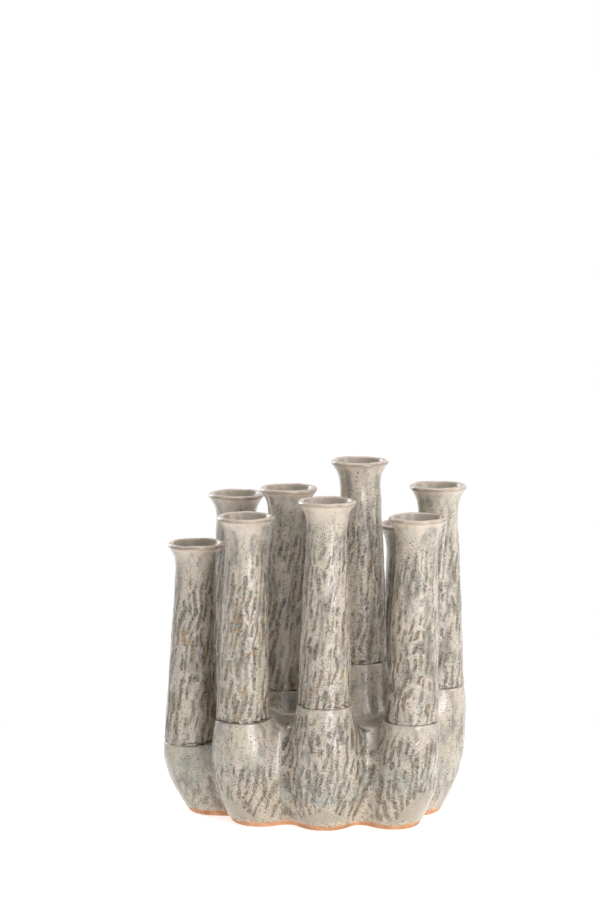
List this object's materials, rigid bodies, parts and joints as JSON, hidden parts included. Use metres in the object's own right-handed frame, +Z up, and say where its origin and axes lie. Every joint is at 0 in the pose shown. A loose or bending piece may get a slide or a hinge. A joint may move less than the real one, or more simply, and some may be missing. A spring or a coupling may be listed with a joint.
{
  "type": "cluster bud vase",
  "caption": "Free-standing stoneware vase: tall flared tubes of one length, luted at stepped heights on a lobed body of joined pots with a bare clay foot.",
  "frame": {"origin": "on the table plane, under the middle of the whole vase", "axes": "+Z up along the tubes, +X along the rows of tubes, -Y towards the front row"},
  "size_m": [0.2662, 0.176, 0.313],
  "materials": {
    "glaze": "glossy mottled reactive glaze over a gouged surface",
    "pot_glaze": "glossy, smoother and cooler glaze pooled on the pots",
    "bare_clay": "matt unglazed fired clay"
  },
  "bodies": {
    "root": {"base_slab": "bare_clay", "pot_front_left": "pot_glaze", "tube_front_left": "glaze", "pot_front_middle": "pot_glaze", "tube_front_middle": "glaze", "pot_front_right": "pot_glaze", "tube_front_right": "glaze", "pot_middle_far_left": "pot_glaze", "tube_middle_far_left": "glaze", "pot_middle_left": "pot_glaze", "tube_middle_left": "glaze", "pot_middle_right": "pot_glaze", "tube_middle_right": "glaze", "pot_middle_far_right": "pot_glaze", "tube_middle_far_right": "glaze", "pot_back_left": "pot_glaze", "tube_back_left": "glaze", "pot_back_middle": "pot_glaze", "tube_back_middle": "glaze", "pot_back_right": "pot_glaze", "tube_back_right": "glaze"}
  },
  "joints": []
}
